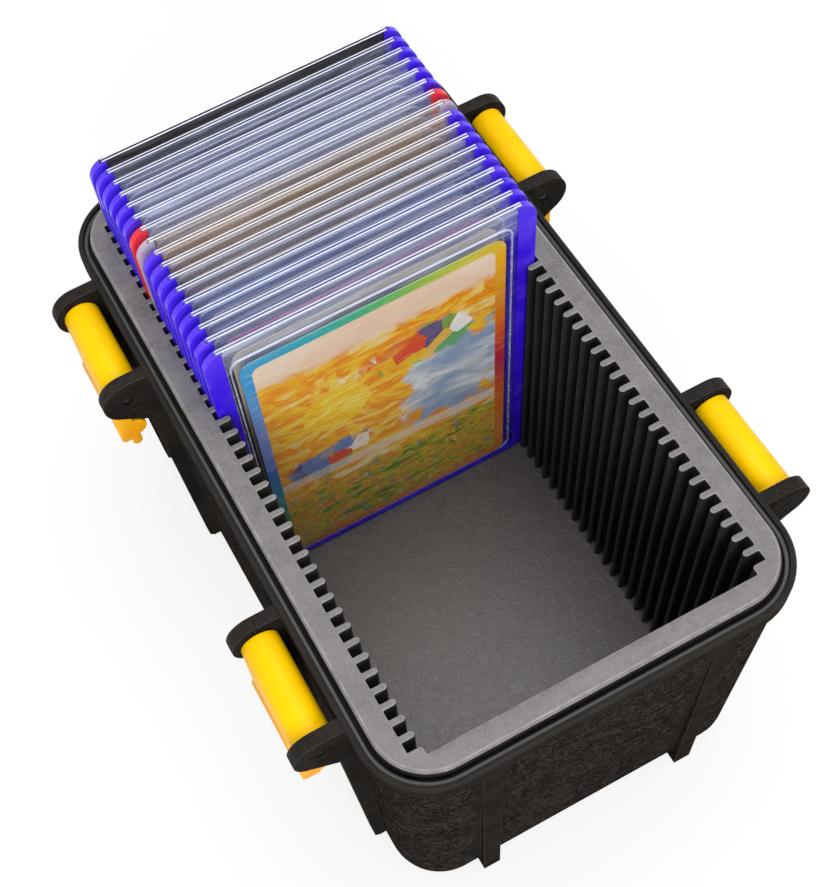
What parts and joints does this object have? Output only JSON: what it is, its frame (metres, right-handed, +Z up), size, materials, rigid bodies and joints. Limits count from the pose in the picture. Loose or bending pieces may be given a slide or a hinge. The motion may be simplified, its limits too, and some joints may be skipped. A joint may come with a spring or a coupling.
{
  "type": "slotted hard case for card holders",
  "caption": "Open base of a rugged case: slotted tray in a sealed shell, swinging side latches, and card holders that lift out of the comb slots.",
  "frame": {"origin": "centre of the case's underside, on the surface it stands on", "axes": "+X across the case towards its right long wall, +Y along the comb from the empty front slots to the filled rear ones, +Z up"},
  "size_m": [0.1174, 0.162, 0.1022],
  "materials": {
    "shell_plastic": "fine leather grain",
    "tray_plastic": "fine stipple",
    "seal_rubber": "satin",
    "latch_plastic": "satin gloss",
    "pin_steel": "blackened",
    "bumper_violet": "translucent violet",
    "bumper_red": "translucent red",
    "bumper_clear": "clear",
    "clear_pvc": "clear rigid",
    "card_stock": "printed, coated"
  },
  "bodies": {
    "case": {"case_shell": "shell_plastic", "slot_tray": "tray_plastic", "gasket": "seal_rubber", "latch_pins": "pin_steel"},
    "latch_left_front_body": {"latch_left_front": "latch_plastic"},
    "latch_left_rear_body": {"latch_left_rear": "latch_plastic"},
    "latch_right_front_body": {"latch_right_front": "latch_plastic"},
    "latch_right_rear_body": {"latch_right_rear": "latch_plastic"},
    "holder_01": {"bumper_01": "bumper_violet", "toploader_01": "clear_pvc", "card_01": "card_stock"},
    "holder_02": {"bumper_02": "bumper_violet", "toploader_02": "clear_pvc", "card_02": "card_stock"},
    "holder_03": {"bumper_03": "bumper_violet", "toploader_03": "clear_pvc", "card_03": "card_stock"},
    "holder_04": {"bumper_04": "bumper_violet", "toploader_04": "clear_pvc", "card_04": "card_stock"},
    "holder_05": {"bumper_05": "bumper_violet", "toploader_05": "clear_pvc", "card_05": "card_stock"},
    "holder_06": {"bumper_06": "bumper_violet", "toploader_06": "clear_pvc", "card_06": "card_stock"},
    "holder_07": {"bumper_07": "bumper_red", "toploader_07": "clear_pvc", "card_07": "card_stock"},
    "holder_08": {"bumper_08": "bumper_clear", "toploader_08": "clear_pvc", "card_08": "card_stock"},
    "holder_09": {"bumper_09": "bumper_violet", "toploader_09": "clear_pvc", "card_09": "card_stock"},
    "holder_10": {"bumper_10": "bumper_violet", "toploader_10": "clear_pvc", "card_10": "card_stock"},
    "holder_11": {"bumper_11": "bumper_violet", "toploader_11": "clear_pvc", "card_11": "card_stock"},
    "holder_12": {"bumper_12": "bumper_violet", "toploader_12": "clear_pvc", "card_12": "card_stock"},
    "holder_13": {"bumper_13": "bumper_violet", "toploader_13": "clear_pvc", "card_13": "card_stock"},
    "holder_14": {"bumper_14": "bumper_violet", "toploader_14": "clear_pvc", "card_14": "card_stock"},
    "holder_15": {"bumper_15": "bumper_violet", "toploader_15": "clear_pvc", "card_15": "card_stock"},
    "holder_16": {"bumper_16": "bumper_violet", "toploader_16": "clear_pvc", "card_16": "card_stock"},
    "holder_17": {"bumper_17": "bumper_violet", "toploader_17": "clear_pvc", "card_17": "card_stock"}
  },
  "joints": [
    {"name": "latch_left_front_hinge", "type": "hinge", "parent": "case", "child": "latch_left_front_body", "pos_m": [-0.0528, -0.046, 0.0732], "axis": [0, 1, 0], "range_deg": [0, 175]},
    {"name": "latch_left_rear_hinge", "type": "hinge", "parent": "case", "child": "latch_left_rear_body", "pos_m": [-0.0528, 0.046, 0.0732], "axis": [0, 1, 0], "range_deg": [0, 175]},
    {"name": "latch_right_front_hinge", "type": "hinge", "parent": "case", "child": "latch_right_front_body", "pos_m": [0.0528, -0.046, 0.0732], "axis": [0, -1, 0], "range_deg": [0, 175]},
    {"name": "latch_right_rear_hinge", "type": "hinge", "parent": "case", "child": "latch_right_rear_body", "pos_m": [0.0528, 0.046, 0.0732], "axis": [0, -1, 0], "range_deg": [0, 175]},
    {"name": "holder_01_lift", "type": "slide", "parent": "case", "child": "holder_01", "axis": [0, 0, 1], "range_m": [0, 0.105]},
    {"name": "holder_02_lift", "type": "slide", "parent": "case", "child": "holder_02", "axis": [0, 0, 1], "range_m": [0, 0.105]},
    {"name": "holder_03_lift", "type": "slide", "parent": "case", "child": "holder_03", "axis": [0, 0, 1], "range_m": [0, 0.105]},
    {"name": "holder_04_lift", "type": "slide", "parent": "case", "child": "holder_04", "axis": [0, 0, 1], "range_m": [0, 0.105]},
    {"name": "holder_05_lift", "type": "slide", "parent": "case", "child": "holder_05", "axis": [0, 0, 1], "range_m": [0, 0.105]},
    {"name": "holder_06_lift", "type": "slide", "parent": "case", "child": "holder_06", "axis": [0, 0, 1], "range_m": [0, 0.105]},
    {"name": "holder_07_lift", "type": "slide", "parent": "case", "child": "holder_07", "axis": [0, 0, 1], "range_m": [0, 0.105]},
    {"name": "holder_08_lift", "type": "slide", "parent": "case", "child": "holder_08", "axis": [0, 0, 1], "range_m": [0, 0.105]},
    {"name": "holder_09_lift", "type": "slide", "parent": "case", "child": "holder_09", "axis": [0, 0, 1], "range_m": [0, 0.105]},
    {"name": "holder_10_lift", "type": "slide", "parent": "case", "child": "holder_10", "axis": [0, 0, 1], "range_m": [0, 0.105]},
    {"name": "holder_11_lift", "type": "slide", "parent": "case", "child": "holder_11", "axis": [0, 0, 1], "range_m": [0, 0.105]},
    {"name": "holder_12_lift", "type": "slide", "parent": "case", "child": "holder_12", "axis": [0, 0, 1], "range_m": [0, 0.105]},
    {"name": "holder_13_lift", "type": "slide", "parent": "case", "child": "holder_13", "axis": [0, 0, 1], "range_m": [0, 0.105]},
    {"name": "holder_14_lift", "type": "slide", "parent": "case", "child": "holder_14", "axis": [0, 0, 1], "range_m": [0, 0.105]},
    {"name": "holder_15_lift", "type": "slide", "parent": "case", "child": "holder_15", "axis": [0, 0, 1], "range_m": [0, 0.105]},
    {"name": "holder_16_lift", "type": "slide", "parent": "case", "child": "holder_16", "axis": [0, 0, 1], "range_m": [0, 0.105]},
    {"name": "holder_17_lift", "type": "slide", "parent": "case", "child": "holder_17", "axis": [0, 0, 1], "range_m": [0, 0.105]}
  ]
}
